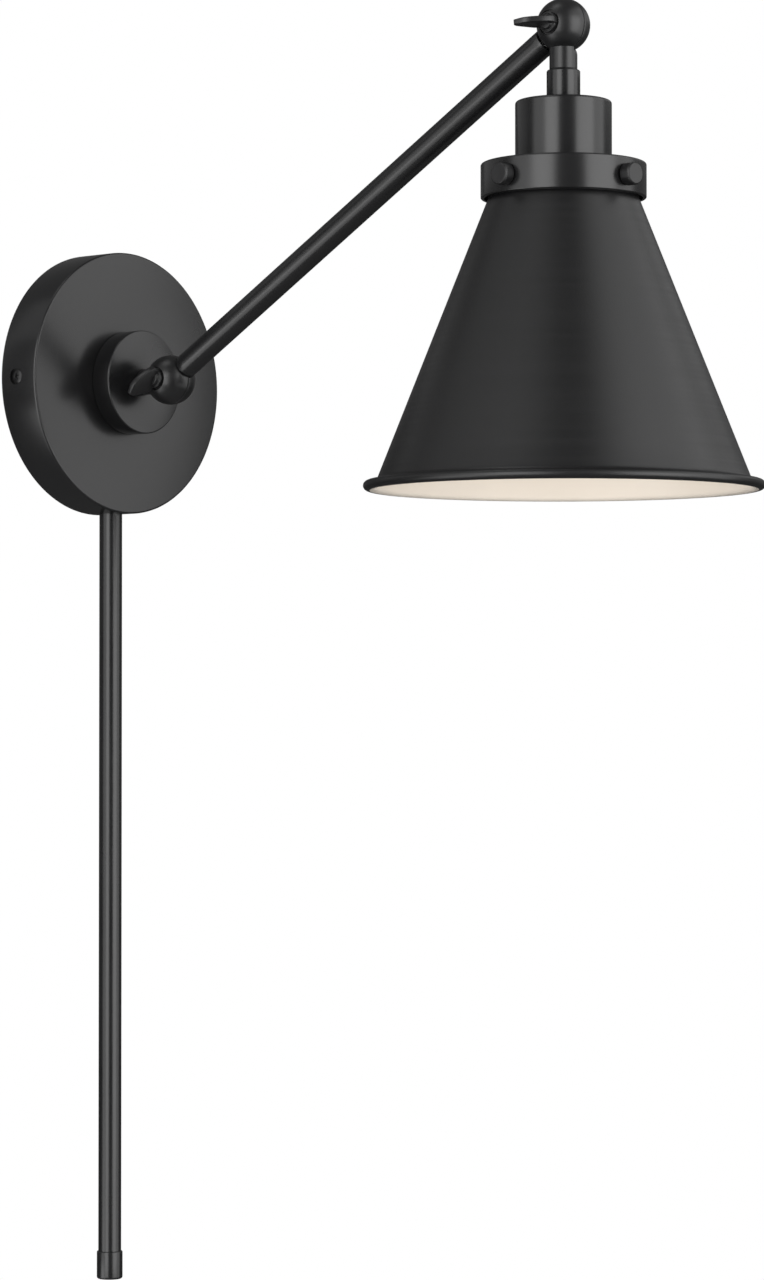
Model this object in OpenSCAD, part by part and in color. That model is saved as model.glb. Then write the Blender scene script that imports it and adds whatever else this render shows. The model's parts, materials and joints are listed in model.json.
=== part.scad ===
// Swing arm wall sconce: a round wall plate, a jointed arm with two split ball swivels,
// a cone shade on a lampholder, and a straight cord cover tube below the plate.
// The origin is the centre of the plate's rear face, on the wall. The wall is the plane
// y = 0, the lamp reaches out along -Y, +Z is up, and both swivel axes run along X.

/* [Wall plate] */
// Diameter of the wall plate
plate_d = 127; // [120:1:135]
// Depth of the wall plate, from the wall to its front face
plate_h = 23.2; // [22:0.1:26]
// Wall thickness of the plate
plate_wall = 3; // [2:0.1:3.5]
// Diameter of the round boss in front of the plate
hub_d = 50; // [44:1:56]
// Thickness of the round boss
hub_h = 11; // [9:0.5:13]

/* [Ball swivels] */
// Diameter of both split balls
ball_d = 23.8; // [23:0.1:25]
// Diameter of the neck below each ball
neck_d = 12.4; // [11:0.1:13]
// Distance from the wall to the centre of the base ball
ball_out = 51.5; // [50:0.5:56]
// Air gap round a ball, where the other half's neck passes over it
ball_gap = 0.5; // [0.3:0.1:0.8]

/* [Arm] */
// Length of the arm between the ball centres
arm_len = 280; // [240:1:320]
// Outer diameter of the arm tube
arm_d = 11.7; // [11:0.1:12.5]
// Wall thickness of the arm tube
arm_wall = 1; // [0.8:0.1:1.2]
// Rise of the arm above level, in degrees
arm_rise = 30.8; // [20:0.1:34]

/* [Head] */
// Diameter of the socket cup
cup_d = 42.8; // [42:0.1:46]
// Diameter of the shade collar
collar_d = 73.4; // [72:0.1:78]
// Height of the shade collar
collar_h = 15.4; // [14:0.1:17]

/* [Shade] */
// Widest diameter of the shade, over the rolled rim
shade_d = 177.4; // [160:0.1:190]
// Height of the shade below the collar, down to the middle of the rim
shade_h = 127; // [110:1:140]
// Thickness of the spun shade
shade_wall = 1.2; // [1:0.1:1.4]
// Diameter of the rolled rim
bead_d = 4.3; // [3.6:0.1:5]

/* [Cord cover] */
// Outer diameter of the cord cover tube
cover_d = 11.1; // [10.6:0.1:11.6]
// Distance from the wall to the tube's axis
cover_out = 11.1; // [10:0.1:13]
// Height of the tube's lower end below the plate's centre
cover_drop = 435.4; // [300:1:460]
// Diameter of the end ferrule
ferrule_d = 12.5; // [12.2:0.1:14]
// Length of the end ferrule
ferrule_h = 13.5; // [10:0.5:18]

/* [Hidden] */
$fn = 64;

metal_black = [0.10, 0.10, 0.10];
zinc = [0.70, 0.71, 0.72];
brass = [0.80, 0.65, 0.30];
copper_green = [0.15, 0.45, 0.25];
phenolic = [0.16, 0.14, 0.13];
nylon = [0.90, 0.89, 0.85];
lead_white = [0.92, 0.92, 0.90];
connector_orange = [0.90, 0.45, 0.12];

// Wall side
plate_r = plate_d / 2;
plate_edge_r = 1.2;
hub_front = plate_h + hub_h;
hub_edge_r = 0.8;
side_screw_out = 10.2;
side_screw_recess_r = 4.5;
side_screw_recess_h = 1.7;
side_screw_head_r = 3.7;
m4_r = 2;
m3_r = 1.5;
hub_screw_x = 16;
strap_h = 2;
strap_half = 57;
strap_wide = 22;
slot_pitch = 82.6;
slot_len = 12;
slot_w = 5;

// Swivels
ball_r = ball_d / 2;
neck_r = neck_d / 2;
neck_edge_r = 1.2;
split = 0.15;
cavity_r = 7.8;
boss_r = 4.2;
stud_r = 2;
stud_fit = 0.05;
lead_bore_r = 3.6;
washer_in_r = 8.4;
washer_out_r = 10.8;
washer_side = 0.9;
pocket_r = 5.6;
pocket_x = 9.6;
trunnion_r = 5.1;
trunnion_end = 8;
key_turn_base = 118;
key_turn_head = 174;
lead_r = 1.1;
lead_gap = 1.25;
stem_lead_x = -2.05;
arm_lead_x = 1.6;

// Arm
arm_r = arm_d / 2;
tube_in_r = arm_r - arm_wall;
spigot_r = tube_in_r - 0.05;
spigot_end = 24;
head_y = -ball_out - arm_len * cos(arm_rise);
head_z = arm_len * sin(arm_rise);

// Head heights, measured down from the head ball's centre
stem_h = 19.6;
coupler_r = 7.45;
cup_top = 33.8;
cup_wall = 1.2;
cup_r = cup_d / 2;
collar_top = 61.5;
collar_r = collar_d / 2;
collar_wall = 1.6;
collar_bottom = collar_top + collar_h;
holder_r = 17;
holder_top = 42;
holder_bottom = 80;
shell_r = 14.2;
shell_bore_r = 13.3;
shell_top = 50;
shell_bottom = 78.5;
terminal_y = 9;
thumb_drop = 8.2;
thumb_r = 5;
thumb_head = 5.7;
thumb_turn = -4;

// Shade
shade_top_r = 33.4;
bead_r = bead_d / 2;
bead_mid_r = shade_d / 2 - bead_r;
flare_r = 3.2;
shade_slope = 0.3963;
neck_up = 11;

// Cord cover
cover_r = cover_d / 2;
cover_in_r = cover_r - 0.6;
ferrule_r = ferrule_d / 2;
nipple_r = cover_in_r - 0.05;
nipple_bore_r = 3.7;
outlet_r = 3.4;

// ---- helpers ----

// Height 0 on the wall, growing away from it
module from_wall() {
    rotate([90, 0, 0]) children();
}

// Origin at the base ball's centre, +Z along the arm
module in_arm() {
    translate([0, -ball_out, 0]) rotate([90 - arm_rise, 0, 0]) children();
}

// Origin at the head ball's centre
module in_head() {
    translate([0, head_y, head_z]) children();
}

// Axis along X, from x = a to x = b
module along_x(a, b, r) {
    translate([a, 0, 0]) rotate([0, 90, 0]) cylinder(r = r, h = b - a);
}

// Everything on one side of the plane x = at, side = 1 or -1
module side_of(at, side) {
    s = 60;
    translate([side > 0 ? at : at - s, -s / 2, -s / 2]) cube(s);
}

// A ring between two radii, from height a to height b
module ring(r_in, r_out, a, b) {
    rotate_extrude()
        translate([r_in, a]) square([r_out - r_in, b - a]);
}

// An insulated wire along straight runs, with a ball at each bend
module wire(points, r) {
    for (i = [0 : len(points) - 2]) {
        run = points[i + 1] - points[i];
        flat = norm([run.x, run.y]);
        translate(points[i])
            rotate([0, atan2(flat, run.z), atan2(run.y, run.x)])
                cylinder(r = r, h = norm(run), $fn = 24);
    }
    for (i = [1 : 1 : len(points) - 2])
        translate(points[i]) sphere(r = r, $fn = 24);
}

// Outline of a disc or cup edge, with a rounded outer top corner
module rounded_disc_outline(r, a, b, corner) {
    square_h = b - a - corner;
    translate([0, a]) square([r, square_h]);
    translate([0, a]) square([r - corner, b - a]);
    translate([r - corner, b - corner]) circle(r = corner, $fn = 48);
}

// Pan head screw along +Z with a cross recess, its head's underside at 0
module pan_screw(head_r, head_h, shank_r, shank_h) {
    slot_h = head_h * 0.6;
    difference() {
        union() {
            rotate_extrude() {
                intersection() {
                    translate([0, head_h - head_r * 1.6]) circle(r = head_r * 1.6, $fn = 96);
                    square([head_r, head_h]);
                }
            }
            translate([0, 0, -shank_h]) cylinder(r = shank_r, h = shank_h + 0.4);
        }
        for (turn = [0, 90])
            rotate([0, 0, turn + 20])
                translate([-head_r * 0.62, -head_r * 0.12, head_h - slot_h])
                    cube([head_r * 1.24, head_r * 0.24, head_h]);
    }
}

// Hexagon nut from height a to b with a round bore
module hex_nut(across, bore_r, a, b) {
    difference() {
        translate([0, 0, a]) cylinder(r = across / sqrt(3), h = b - a, $fn = 6);
        translate([0, 0, a - 1]) cylinder(r = bore_r, h = b - a + 2);
    }
}

// ---- wall side ----

module backplate() {
    side_hole_z = cover_out;
    color(metal_black)
    from_wall()
    difference() {
        rotate_extrude($fn = 128) difference() {
            rounded_disc_outline(plate_r, 0, plate_h, plate_edge_r);
            translate([-1, -1]) square([plate_r - plate_wall + 1, plate_h - plate_wall + 1]);
            translate([-1, -1]) square([trunnion_r + 0.05 + 1, plate_h + 2]);
        }
        for (side = [-1, 1]) {
            translate([side * (plate_r - side_screw_recess_h), 0, side_screw_out])
                rotate([0, side * 90, 0]) cylinder(r = side_screw_recess_r, h = 5);
            translate([side * (plate_r - 6), 0, side_screw_out])
                rotate([0, side * 90, 0]) cylinder(r = m4_r + 0.2, h = 8);
            translate([side * hub_screw_x, 0, plate_h - 6])
                cylinder(r = m3_r + 0.1, h = 8);
        }
        translate([0, -plate_r + 8, side_hole_z])
            rotate([90, 0, 0]) cylinder(r = nipple_r + 0.1, h = 12);
    }
}

module wall_bracket() {
    tab_up = 17;
    tab_half = 8;
    color(zinc)
    from_wall()
    difference() {
        union() {
            translate([-strap_half, -strap_wide / 2, 0])
                cube([2 * strap_half, strap_wide, strap_h]);
            for (side = [-1, 1])
                translate([side > 0 ? strap_half - strap_h : -strap_half, -tab_half, 0])
                    cube([strap_h, 2 * tab_half, tab_up]);
        }
        translate([0, 0, -1]) cylinder(r = 5.2, h = strap_h + 2);
        for (side = [-1, 1]) {
            for (end = [-1, 1])
                translate([side * slot_pitch / 2 + end * (slot_len - slot_w) / 2, 0, -1])
                    cylinder(r = slot_w / 2, h = strap_h + 2);
            translate([side * slot_pitch / 2 - (slot_len - slot_w) / 2, -slot_w / 2, -1])
                cube([slot_len - slot_w, slot_w, strap_h + 2]);
            translate([side * (strap_half - 4), 0, side_screw_out])
                rotate([0, side * 90, 0]) cylinder(r = m4_r + stud_fit, h = 8);
        }
        translate([22, 4, -1]) cylinder(r = m3_r + 0.1, h = strap_h + 2);
    }
}

module side_screws() {
    color(metal_black)
    for (side = [-1, 1])
        translate([side * (plate_r - side_screw_recess_h), -side_screw_out, 0])
            rotate([0, side * 90, 0])
                pan_screw(side_screw_head_r, 1.9, m4_r, 8.5);
}

module hub() {
    color(metal_black)
    from_wall()
    difference() {
        rotate_extrude($fn = 96) difference() {
            rounded_disc_outline(hub_d / 2, plate_h, hub_front, hub_edge_r);
            translate([-1, plate_h - 1]) square([trunnion_r + 0.05 + 1, hub_h + 2]);
        }
        for (side = [-1, 1])
            translate([side * hub_screw_x, 0, plate_h - 1])
                cylinder(r = m3_r + stud_fit, h = 7);
    }
}

module hub_screws() {
    color(zinc)
    for (side = [-1, 1])
        translate([side * hub_screw_x, -(plate_h - plate_wall), 0])
            rotate([-90, 0, 0])
                pan_screw(2.9, 1.8, m3_r, 8);
}

module ground_screw() {
    color(copper_green)
    translate([22, -strap_h, 4]) rotate([90, 0, 0]) pan_screw(3.4, 2, m3_r, 1.9);
}

module wire_connectors() {
    color(connector_orange)
    for (side = [-1, 1])
        translate([side * 12, -11, 22]) {
            difference() {
                union() {
                    cylinder(r1 = 6.4, r2 = 4.6, h = 17);
                    translate([0, 0, 17]) sphere(r = 4.6);
                    for (turn = [0 : 45 : 315])
                        rotate([0, 0, turn + 22.5]) translate([4.9, -0.5, 1]) cube([1.2, 1, 15]);
                }
                translate([0, 0, -1]) cylinder(r = 4, h = 10);
            }
        }
}

module plate_leads() {
    color(lead_white)
    for (side = [-1, 1])
        wire([[side * 2.4, -6, 1 + side * lead_gap], [side * 12, -11, 27]], lead_r);
}

module cover_tube() {
    color(metal_black)
    difference() {
        translate([0, -cover_out, -cover_drop + 1])
            cylinder(r = cover_r, h = cover_drop - plate_r + 8);
        translate([0, -cover_out, -cover_drop])
            cylinder(r = cover_in_r, h = cover_drop);
        from_wall() cylinder(r = plate_r, h = plate_h, $fn = 128);
    }
}

module cover_nipple() {
    color(zinc)
    translate([0, -cover_out, 0])
        ring(nipple_bore_r, nipple_r, -plate_r - 12, -plate_r + 12);
}

module cover_nut() {
    inside = -sqrt(pow(plate_r - plate_wall, 2) - 64);
    color(zinc)
    translate([0, -cover_out, 0])
        hex_nut(14, nipple_r, inside, inside + 4);
}

module ferrule() {
    color(metal_black)
    translate([0, -cover_out, -cover_drop])
    rotate_extrude() difference() {
        union() {
            translate([0, 0.8]) square([ferrule_r, ferrule_h - 1.3]);
            square([ferrule_r - 0.8, ferrule_h]);
            translate([ferrule_r - 0.8, 0.8]) circle(r = 0.8, $fn = 48);
            translate([ferrule_r - 0.5, ferrule_h - 0.5]) circle(r = 0.5, $fn = 48);
        }
        translate([-1, 1]) square([cover_r + 1, ferrule_h]);
        translate([-1, -1]) square([outlet_r + 1.2 + 1, ferrule_h]);
    }
}

module outlet_bush() {
    color(phenolic)
    translate([0, -cover_out, -cover_drop]) {
        ring(outlet_r, outlet_r + 1.15, 0, 1);
        ring(outlet_r, cover_in_r - 0.05, 1, 9);
    }
}

// ---- swivels ----

// Half ball on the -X side with its neck along -Z down to `neck`, and the key's pocket
module stem_half(neck) {
    difference() {
        union() {
            sphere(r = ball_r, $fn = 96);
            neck_with_shoulder(neck);
        }
        other_half(-split, 1);
        ball_cavity(-1);
        translate([0, 0, -neck - 1]) cylinder(r = lead_bore_r, h = neck - boss_r + 0.5);
        along_x(-ball_r, 1, stud_r + stud_fit);
        along_x(-ball_r - 1, -pocket_x, pocket_r);
        difference() {
            along_x(-washer_side, split, washer_out_r + 0.1);
            along_x(-washer_side - 1, split + 1, washer_in_r - 0.1);
        }
    }
}

// Room for the other half of the ball, with air round it
module other_half(at, side) {
    intersection() {
        sphere(r = ball_r + ball_gap, $fn = 96);
        side_of(at, side);
    }
}

// Round neck whose top edge, next to the ball, is rounded
module neck_with_shoulder(neck) {
    top = ball_r - 1;
    rotate_extrude() {
        translate([0, -neck]) square([neck_r, neck - top - neck_edge_r]);
        translate([0, -neck]) square([neck_r - neck_edge_r, neck - top]);
        translate([neck_r - neck_edge_r, -top - neck_edge_r])
            circle(r = neck_edge_r, $fn = 48);
    }
}

// The hollow for the leads round the central boss, on one side of the split
module ball_cavity(side) {
    difference() {
        intersection() {
            sphere(r = cavity_r, $fn = 96);
            side_of(0, side);
        }
        along_x(-ball_r, ball_r, boss_r);
    }
}

// Half ball on the +X side with a spigot along +Z for the arm tube
module arm_half() {
    difference() {
        union() {
            sphere(r = ball_r, $fn = 96);
            cylinder(r = spigot_r, h = spigot_end);
        }
        other_half(split, -1);
        ball_cavity(1);
        translate([0, 0, boss_r + 0.5]) cylinder(r = lead_bore_r, h = spigot_end);
        along_x(-1, ball_r - 3, stud_r + stud_fit);
    }
}

// Friction ring in the split face
module split_washer() {
    color(nylon)
    difference() {
        along_x(-washer_side, split - 0.05, washer_out_r);
        along_x(-washer_side - 1, split + 1, washer_in_r);
    }
}

// Clamping key: a slanted paddle on a round collar, with a stud along the axis
module key() {
    collar = 4.6;
    foot = pocket_x + 0.1;
    paddle = [
        [0, 3.8], [3.6, 4.4], [5, 3.8], [11.2, -1.8], [12.4, -7.6], [10.6, -8.4], [1.6, -5.6], [0, -3.9]
    ];
    corner = 1.2;
    thick_root = 2.9;
    thick_tip = 2;
    reach = 30;
    along_x(-foot - 3, -foot, collar);
    along_x(-foot - 3.6, -foot - 3, collar - 0.8);
    along_x(-foot - 0.5, ball_r - 4, stud_r);
    intersection() {
        translate([-foot - 1.5, 0, 0])
            rotate([0, 0, 180])
                translate([0, 0, -5]) linear_extrude(10) offset(r = corner, $fn = 24)
                    polygon([for (p = paddle) [p.x, -p.y]]);
        rotate([-90, 0, 0]) translate([0, 0, -20]) linear_extrude(40)
            polygon([
                [-foot, -thick_root / 2], [-foot - reach, -thick_tip / 2],
                [-foot - reach, thick_tip / 2], [-foot, thick_root / 2]
            ]);
    }
}

module base_stem() {
    color(metal_black)
    translate([0, -ball_out, 0]) rotate([90, 0, 0]) {
        stem_half(ball_out - hub_front);
        difference() {
            translate([0, 0, -(ball_out - trunnion_end)])
                cylinder(r = trunnion_r, h = hub_front - trunnion_end);
            translate([0, 0, -ball_out]) cylinder(r = lead_bore_r, h = ball_out);
        }
    }
}

module wave_washer() {
    color(zinc)
    from_wall() ring(trunnion_r + 0.1, 9, plate_h - plate_wall - 1.2, plate_h - plate_wall - 0.1);
}

module lock_nut() {
    color(zinc)
    from_wall()
        hex_nut(16, trunnion_r, plate_h - plate_wall - 6.3, plate_h - plate_wall - 1.3);
}

module base_washer() {
    translate([0, -ball_out, 0]) split_washer();
}

module base_leads() {
    color(lead_white)
    for (side = [-1, 1])
        wire([
            [stem_lead_x, -ball_out + 6, side * lead_gap],
            [stem_lead_x, -trunnion_end, side * lead_gap]
        ], lead_r);
}

module base_key() {
    color(metal_black)
    translate([0, -ball_out, 0]) rotate([key_turn_base, 0, 0]) key();
}

// ---- arm ----

module arm_tube() {
    color(metal_black)
    in_arm()
    difference() {
        rotate_extrude() difference() {
            translate([tube_in_r, 6]) square([arm_wall, arm_len - 12]);
            circle(r = ball_r, $fn = 96);
            translate([0, arm_len]) circle(r = ball_r, $fn = 96);
        }
        other_half(split, -1);
        translate([0, 0, arm_len]) other_half(split, -1);
    }
}

module arm_base_half() {
    color(metal_black)
    in_arm() arm_half();
}

module arm_head_half() {
    color(metal_black)
    in_arm() translate([0, 0, arm_len]) mirror([0, 0, 1]) arm_half();
}

module arm_leads() {
    color(lead_white)
    in_arm()
    for (side = [-1, 1])
        wire([[arm_lead_x, side * lead_gap, 8], [arm_lead_x, side * lead_gap, arm_len - 8]], lead_r);
}

// ---- head ----

module head_key() {
    color(metal_black)
    in_head() rotate([key_turn_head, 0, 0]) key();
}

module head_stem() {
    spigot = 9.8 / 2;
    color(metal_black)
    in_head() {
        stem_half(stem_h);
        ring(lead_bore_r, spigot, -cup_top - cup_wall - 4, -stem_h);
    }
}

module head_washer() {
    in_head() split_washer();
}

module coupler() {
    color(metal_black)
    in_head()
    rotate_extrude() difference() {
        union() {
            translate([0, -cup_top]) square([coupler_r, cup_top - stem_h - 1]);
            translate([0, -cup_top]) square([coupler_r - 0.6, cup_top - stem_h - 0.4]);
            translate([0, -cup_top]) square([neck_r - 0.7, cup_top - stem_h]);
        }
        translate([-1, -cup_top - 1]) square([4.95 + 1, cup_top]);
    }
}

module head_nut() {
    color(zinc)
    in_head() hex_nut(14, 4.9, -cup_top - cup_wall - 3.4, -cup_top - cup_wall);
}

module socket_cup() {
    lip_h = 1.6;
    color(metal_black)
    in_head()
    rotate_extrude($fn = 96) difference() {
        union() {
            rounded_disc_outline(cup_r, -collar_top + lip_h, -cup_top, 1.2);
            translate([0, -collar_top]) square([cup_r, lip_h - 0.3]);
            translate([0, -collar_top]) square([cup_r - 0.25, lip_h]);
        }
        translate([-1, -collar_top - 1])
            square([cup_r - cup_wall + 1, collar_top - cup_top - cup_wall + 1]);
        translate([-1, -collar_top]) square([4.95 + 1, collar_top]);
    }
}

module lampholder() {
    cap_r = 12;
    cap_h = 4;
    room = shell_r + 0.1;
    color(phenolic)
    in_head()
    difference() {
        rotate_extrude() difference() {
            union() {
                translate([0, -holder_bottom])
                    square([holder_r, holder_bottom - holder_top - cap_h]);
                translate([0, -collar_top]) square([cup_r - cup_wall - 0.4, 4]);
                translate([0, -holder_top - cap_h]) square([cap_r, cap_h]);
            }
            translate([-1, -holder_bottom - 1])
                square([room + 1, holder_bottom - shell_top + 1.1]);
            translate([-1, -holder_bottom]) square([5 + 1, holder_bottom]);
        }
        for (side = [-1, 1])
            translate([0, side * terminal_y, -holder_top - 3.4])
                cylinder(r = m3_r + stud_fit, h = 5);
    }
}

module screw_shell() {
    color(brass)
    in_head()
    difference() {
        rotate_extrude() difference() {
            translate([0, -shell_bottom]) square([shell_r, shell_bottom - shell_top]);
            translate([-1, -shell_bottom - 1])
                square([shell_bore_r + 1, shell_bottom - shell_top + 0.2]);
        }
        translate([0, 0, -shell_top - 2]) cylinder(r = 6.5, h = 4);
    }
}

module centre_contact() {
    color(brass)
    in_head()
    translate([-3, -3, -shell_top - 0.7]) {
        cube([6, 6, 0.6]);
        cube([0.6, 6, 7]);
    }
}

module terminal_screws() {
    color(brass)
    in_head()
    for (side = [-1, 1])
        translate([0, side * terminal_y, -holder_top])
            pan_screw(2.6, 1.6, m3_r, 3);
}

module retaining_ring() {
    grip_n = 12;
    color(phenolic)
    in_head()
    difference() {
        ring(holder_r + 0.05, 23, -collar_top - collar_wall - 6.2, -collar_top - collar_wall);
        for (i = [0 : grip_n - 1])
            rotate([0, 0, i * 360 / grip_n])
                translate([24.2, 0, -collar_top - 12]) cylinder(r = 2, h = 8, $fn = 32);
    }
}

module head_leads() {
    color(lead_white)
    in_head()
    for (side = [-1, 1])
        wire([
            [stem_lead_x, side * lead_gap, -6],
            [stem_lead_x, side * lead_gap, -holder_top + 1.7],
            [0, side * 6.2, -holder_top + 1.7]
        ], lead_r);
}

module shade_collar() {
    color(metal_black)
    in_head()
    difference() {
        rotate_extrude($fn = 128) difference() {
            union() {
                rounded_disc_outline(collar_r, -collar_bottom + 0.6, -collar_top, 1);
                translate([0, -collar_bottom]) square([collar_r - 0.6, 2]);
                translate([collar_r - 0.6, -collar_bottom + 0.6]) circle(r = 0.6, $fn = 48);
            }
            translate([-1, -collar_bottom - 1])
                square([collar_r - collar_wall + 1, collar_h - collar_wall + 1]);
            translate([-1, -collar_bottom]) square([holder_r + 0.3 + 1, collar_h + 1]);
        }
        for (turn = [0 : 90 : 270])
            rotate([0, 0, turn + thumb_turn])
                translate([collar_r - 4, 0, -collar_top - thumb_drop])
                    rotate([0, 90, 0]) cylinder(r = m3_r + stud_fit, h = 8);
    }
}

// Radius of the shade's outer cone at a height z
function cone_r(z) = shade_top_r + shade_slope * (-collar_bottom - z);

module shade() {
    bead_z = -collar_bottom - shade_h;
    lean = atan(shade_slope);
    cone_top = -collar_bottom - 1.2;
    lip_sink = 0.35;
    cone_end = bead_z + bead_r - lip_sink + flare_r * (1 - sin(lean));
    lip_steps = 8;
    bead_steps = 28;
    bead_start = 122;
    bead_turn = 318;
    // The lip turns from the cone's own slope out to level, t running from 0 to 1
    function lip_point(t, depth) = let (a = lean + (90 - lean) * t)
        [cone_r(cone_end) + flare_r * cos(lean) - (flare_r + depth) * cos(a),
         cone_end + flare_r * sin(lean) - (flare_r + depth) * sin(a)];
    function skin(depth) = concat(
        [[shade_top_r - depth, -collar_bottom + neck_up],
         [shade_top_r - depth, cone_top + 0.4],
         [cone_r(cone_top) - depth * cos(lean), cone_top - depth * sin(lean)]],
        [for (i = [0 : lip_steps]) lip_point(i / lip_steps, depth)]);
    inside = skin(shade_wall);
    bead = [for (i = [0 : bead_steps]) let (a = bead_start - bead_turn * i / bead_steps)
        [bead_mid_r + bead_r * cos(a), bead_z + bead_r * sin(a)]];
    color(metal_black)
    in_head()
    rotate_extrude($fn = 160)
        polygon(concat(skin(0), bead, [for (i = [len(inside) - 1 : -1 : 0]) inside[i]]));
}

// Knurled thumb screw number i, pressing inwards on the shade's neck
module thumb_screw(i) {
    teeth = 30;
    tip_in = collar_r - shade_top_r - 0.15;
    color(metal_black)
    in_head()
    rotate([0, 0, 90 * i + thumb_turn])
        translate([collar_r, 0, -collar_top - thumb_drop])
            rotate([0, 90, 0]) {
                translate([0, 0, 0.15]) linear_extrude(thumb_head - 0.15)
                    polygon([for (k = [0 : 2 * teeth - 1])
                        let (r = k % 2 == 0 ? thumb_r : thumb_r - 0.28, a = 180 * k / teeth)
                        [r * cos(a), r * sin(a)]]);
                translate([0, 0, -tip_in]) cylinder(r = m3_r, h = tip_in + 1);
            }
}

backplate();
wall_bracket();
side_screws();
hub();
hub_screws();
ground_screw();
wire_connectors();
plate_leads();
cover_tube();
cover_nipple();
cover_nut();
ferrule();
outlet_bush();
base_stem();
wave_washer();
lock_nut();
base_washer();
base_leads();
base_key();
arm_tube();
arm_base_half();
arm_head_half();
arm_leads();
head_key();
head_stem();
head_washer();
coupler();
head_nut();
socket_cup();
lampholder();
screw_shell();
centre_contact();
terminal_screws();
retaining_ring();
head_leads();
shade_collar();
shade();
thumb_screw(1);  // thumb_screw_1
thumb_screw(2);  // thumb_screw_2
thumb_screw(3);  // thumb_screw_3
thumb_screw(4);  // thumb_screw_4
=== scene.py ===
import json
from math import atan, atan2, cos, degrees, pi, radians, sin, sqrt

import bmesh
import bpy
from bpy.props import FloatProperty, FloatVectorProperty, IntProperty, PointerProperty
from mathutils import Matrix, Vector


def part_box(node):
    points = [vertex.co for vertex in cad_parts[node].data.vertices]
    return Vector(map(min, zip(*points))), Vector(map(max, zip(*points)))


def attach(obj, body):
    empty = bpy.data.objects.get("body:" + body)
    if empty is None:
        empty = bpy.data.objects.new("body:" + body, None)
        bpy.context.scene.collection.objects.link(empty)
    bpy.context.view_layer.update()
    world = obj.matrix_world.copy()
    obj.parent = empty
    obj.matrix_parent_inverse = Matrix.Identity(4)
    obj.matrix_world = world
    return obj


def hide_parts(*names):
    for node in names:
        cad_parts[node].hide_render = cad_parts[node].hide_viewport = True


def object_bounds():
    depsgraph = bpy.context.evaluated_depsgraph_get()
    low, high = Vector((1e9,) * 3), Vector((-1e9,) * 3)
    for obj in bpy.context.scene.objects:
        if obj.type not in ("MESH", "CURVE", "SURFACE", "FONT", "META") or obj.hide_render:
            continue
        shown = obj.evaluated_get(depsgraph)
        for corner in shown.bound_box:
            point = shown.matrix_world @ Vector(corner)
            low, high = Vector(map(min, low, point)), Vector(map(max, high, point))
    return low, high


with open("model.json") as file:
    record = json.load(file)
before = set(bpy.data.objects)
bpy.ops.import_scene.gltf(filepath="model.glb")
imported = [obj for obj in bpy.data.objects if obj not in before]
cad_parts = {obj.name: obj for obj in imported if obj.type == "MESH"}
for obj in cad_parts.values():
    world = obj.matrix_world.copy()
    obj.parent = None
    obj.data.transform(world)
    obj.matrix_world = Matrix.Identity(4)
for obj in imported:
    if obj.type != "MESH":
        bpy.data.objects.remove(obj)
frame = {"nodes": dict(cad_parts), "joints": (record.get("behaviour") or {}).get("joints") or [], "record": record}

bl_info = {
    "name": "Swing Arm Wall Sconce",
    "version": (1, 0, 0),
    "blender": (4, 5, 0),
    "location": "3D View > Sidebar > Sconce",
    "description": "Builds a swing arm wall sconce with a cone shade, piece by piece",
    "category": "Object",
}

CAD_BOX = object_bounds()
MM = 0.001
TINY = 1e-5


# ---- Places taken from the frame ----

def half_width(node):
    low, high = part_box(node)
    return (high.x - low.x) / 2


def joint_place(name):
    return Vector(next(j["pos_m"] for j in frame["joints"] if j["name"] == name))


def joint_axis(name):
    return Vector(next(j["axis"] for j in frame["joints"] if j["name"] == name))


BASE_BALL = joint_place("arm_tilt")
HEAD_BALL = joint_place("head_tilt")
ARM_RUN = HEAD_BALL - BASE_BALL
ARM_TURN = (atan2(-ARM_RUN.y, ARM_RUN.z), 0, 0)
OUT_OF_WALL = (pi / 2, 0, 0)
PLATE_R = half_width("backplate")
PLATE_H = -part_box("backplate")[0].y
HUB_R = half_width("hub")
HUB_FRONT = -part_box("hub")[0].y
BALL_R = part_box("arm_head_half")[1].z - HEAD_BALL.z
ARM_R = half_width("arm_tube")
CUP_R = half_width("socket_cup")
COUPLER_R = half_width("coupler")
COLLAR_R = half_width("shade_collar")
COVER_R = half_width("cover_tube")
FERRULE_R = half_width("ferrule")


def below_head(z):
    """Height z counted from the middle of the head ball."""
    return z - HEAD_BALL.z


CUP_BOTTOM, CUP_TOP = (below_head(v.z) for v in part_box("socket_cup"))
COLLAR_BOTTOM, COLLAR_TOP = (below_head(v.z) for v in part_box("shade_collar"))
SHADE_BOTTOM, SHADE_TOP = (below_head(v.z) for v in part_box("shade"))
COUPLER_BOTTOM, COUPLER_TOP = (below_head(v.z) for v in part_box("coupler"))
SHELL_BOTTOM, SHELL_TOP = (below_head(v.z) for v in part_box("screw_shell"))
COVER_MID = sum((v.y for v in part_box("ferrule"))) / 2
SHELL_R = half_width("screw_shell")
NECK_R = 6.2 * MM
POCKET_X = 9.6 * MM
SCREW_SEAT = PLATE_R - 1.7 * MM
SPLIT = 0.15 * MM
LIGHT_DISTANCE = 2.2
FLOOR_DROP = 1.5


# ---- Settings ----

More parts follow.
